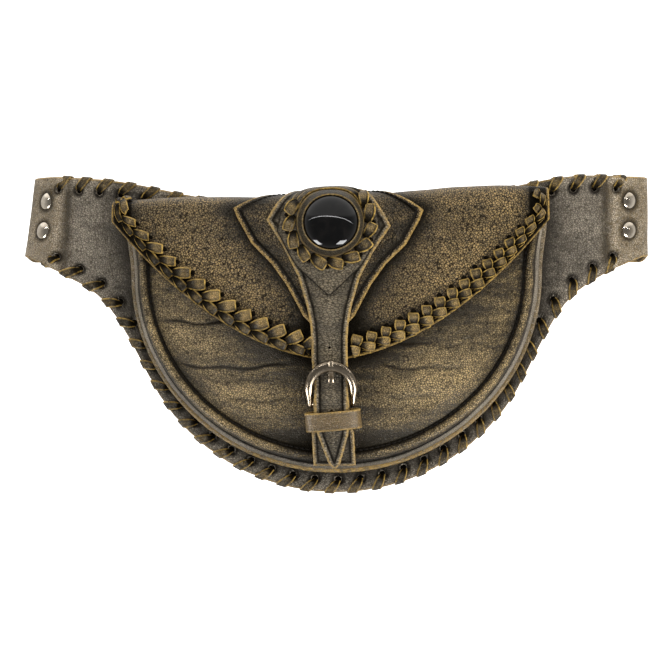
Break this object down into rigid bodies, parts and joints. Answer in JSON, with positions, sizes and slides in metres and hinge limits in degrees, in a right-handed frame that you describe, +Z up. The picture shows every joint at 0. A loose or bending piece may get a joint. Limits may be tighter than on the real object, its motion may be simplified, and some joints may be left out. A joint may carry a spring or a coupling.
{
  "type": "hip bag",
  "caption": "Half-moon leather hip bag with laced edges, curved riveted wings, braided flap, kite-headed buckled strap and a black domed stone.",
  "frame": {"origin": "middle of the belt line on the rear face of the hip panel, where the bag sits against the wearer", "axes": "+X to the viewer's right along the width, +Y to the rear towards the wearer, +Z up; the flap and buckle face -Y"},
  "size_m": [0.3638, 0.0956, 0.1863],
  "materials": {
    "panel_leather": "pebbled dark brown with rubbed highlights",
    "flap_leather": "pebbled olive brown with golden rubbed highlights",
    "strap_leather": "dark pebbled leather with raw golden edges",
    "lace_leather": "worn leather thong with pale raw edges",
    "nickel": "worn polished nickel",
    "stone": "opaque black polished stone"
  },
  "bodies": {
    "root": {"back_panel": "panel_leather", "edge_lace_lower": "lace_leather", "edge_lace_upper": "lace_leather", "rivet_left_lower": "nickel", "rivet_left_upper": "nickel", "rivet_right_lower": "nickel", "rivet_right_upper": "nickel", "gusset": "panel_leather", "pouch_front": "panel_leather", "flap": "flap_leather", "flap_braid_left": "lace_leather", "flap_braid_right": "lace_leather", "kite": "flap_leather", "strap": "strap_leather", "stone_patch": "strap_leather", "stone_collar": "strap_leather", "stone_braid": "lace_leather", "stone": "stone", "buckle_strap": "strap_leather", "buckle_prong": "nickel", "buckle_frame": "nickel", "keeper": "strap_leather"}
  },
  "joints": []
}
